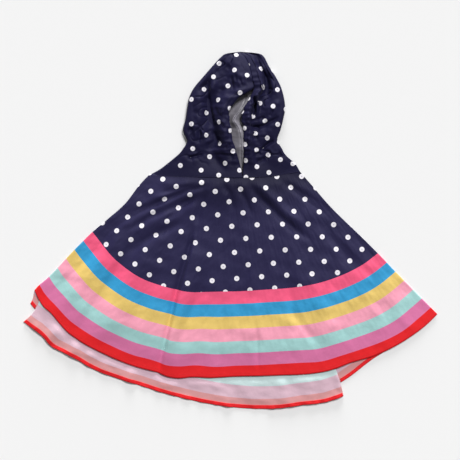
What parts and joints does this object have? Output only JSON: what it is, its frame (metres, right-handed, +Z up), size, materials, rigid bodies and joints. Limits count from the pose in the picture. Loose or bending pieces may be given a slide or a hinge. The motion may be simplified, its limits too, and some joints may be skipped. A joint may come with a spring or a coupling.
{
  "type": "hooded rain poncho",
  "caption": "Child's hooded rain poncho laid flat on its back: a fan-shaped front and back with a striped hem, and a hood with a gathered face opening.",
  "frame": {"origin": "bottom centre of the bounding box, on the surface that the poncho lies on", "axes": "+X across the garment towards the right of the picture, +Y from the hem towards the hood, +Z up off the surface"},
  "size_m": [0.9924, 0.856, 0.0331],
  "materials": {
    "front_cloth": "thin coated polyester, printed side",
    "back_cloth": "thin coated polyester, wrong side",
    "hem_cloth": "thin coated polyester, printed side",
    "hood_cloth": "thin coated polyester, printed side"
  },
  "bodies": {
    "root": {"front_panel": "front_cloth", "back_panel": "back_cloth", "back_hem_fold": "hem_cloth", "back_hem_fold_left": "hem_cloth", "back_hem_fold_right": "hem_cloth", "hood_left": "hood_cloth", "hood_right": "hood_cloth"}
  },
  "joints": []
}
